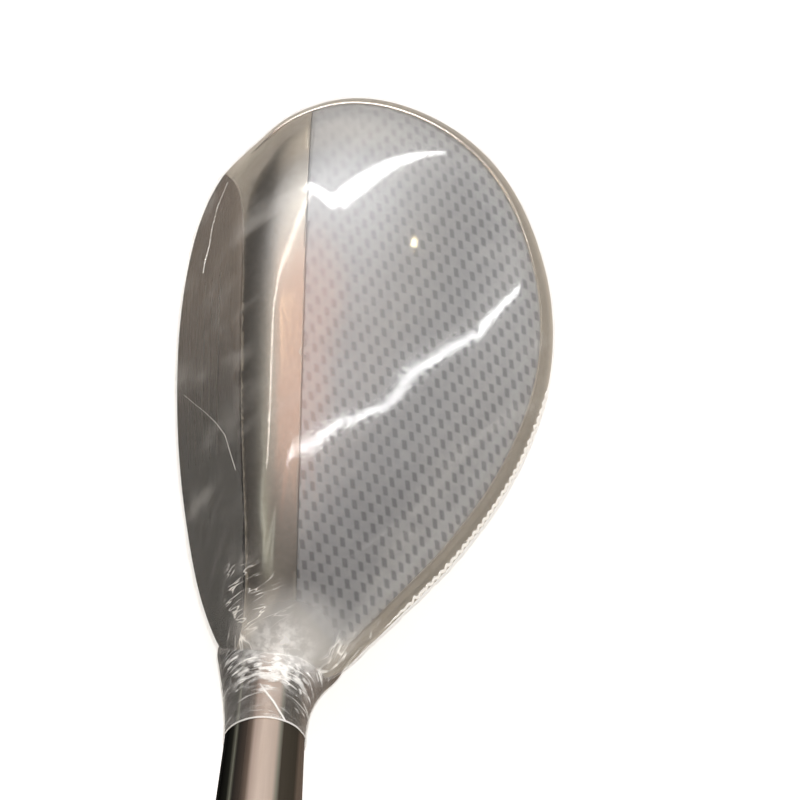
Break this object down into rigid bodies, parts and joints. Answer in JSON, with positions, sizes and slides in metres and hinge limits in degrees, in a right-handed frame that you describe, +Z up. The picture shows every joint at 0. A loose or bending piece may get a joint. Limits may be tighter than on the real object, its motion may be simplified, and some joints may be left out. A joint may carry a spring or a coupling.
{
  "type": "hybrid golf club",
  "caption": "Hybrid golf club at address: hollow steel head with a woven carbon crown, bonded hosel, slim tapered shaft, rubber grip and clear film wrapped round the head.",
  "frame": {"origin": "the flat of the sole where the head rests on the ground at address", "axes": "+Z up; +X from the face to the back of the head; +Y from heel to toe; the shaft leans back towards -Y at its lie angle"},
  "size_m": [0.069, 0.6195, 0.8849],
  "materials": {
    "satin_steel": "satin cast stainless steel",
    "brushed_face": "steel brushed from heel to toe",
    "carbon_weave": "plain-weave carbon under clear coat",
    "adhesive": "cured structural adhesive",
    "slot_polymer": "soft black polymer",
    "hot_melt": "hot-melt glue",
    "weight_steel": "dark turned metal",
    "screw_steel": "black oxide steel",
    "washer_rubber": "soft rubber",
    "shaft_paint": "painted graphite composite",
    "epoxy": "cured epoxy",
    "plug_brass": "turned brass",
    "ferrule_plastic": "polished black plastic",
    "tape": "double-sided paper tape",
    "grip_rubber": "moulded rubber with fine grooves",
    "cap_rubber": "hard moulded rubber",
    "clear_film": "clear shrink film"
  },
  "bodies": {
    "club": {"head_body": "satin_steel", "face_plate": "brushed_face", "crown_panel": "carbon_weave", "crown_adhesive": "adhesive", "slot_insert": "slot_polymer", "hot_melt_pad": "hot_melt", "weight_washer": "washer_rubber", "shaft": "shaft_paint", "shaft_epoxy": "epoxy", "tip_plug": "plug_brass", "ferrule": "ferrule_plastic", "grip_tape": "tape", "grip": "grip_rubber", "grip_cap": "cap_rubber", "wrap_film": "clear_film"},
    "weight": {"sole_weight": "weight_steel"},
    "screw": {"weight_screw": "screw_steel"}
  },
  "joints": [
    {"name": "weight_slide", "type": "slide", "parent": "club", "child": "weight", "axis": [0.2133, -0.0221, -0.9767], "range_m": [0, 0.007]},
    {"name": "screw_turn", "type": "hinge", "parent": "weight", "child": "screw", "pos_m": [0.02592, 0.00101, 0.00187], "axis": [0.2133, -0.0221, -0.9767], "range_deg": [0, 3160]}
  ],
  "couplings": [
    {"joint": "screw_turn", "follows": "weight_slide", "rad_per_m": 7854}
  ]
}
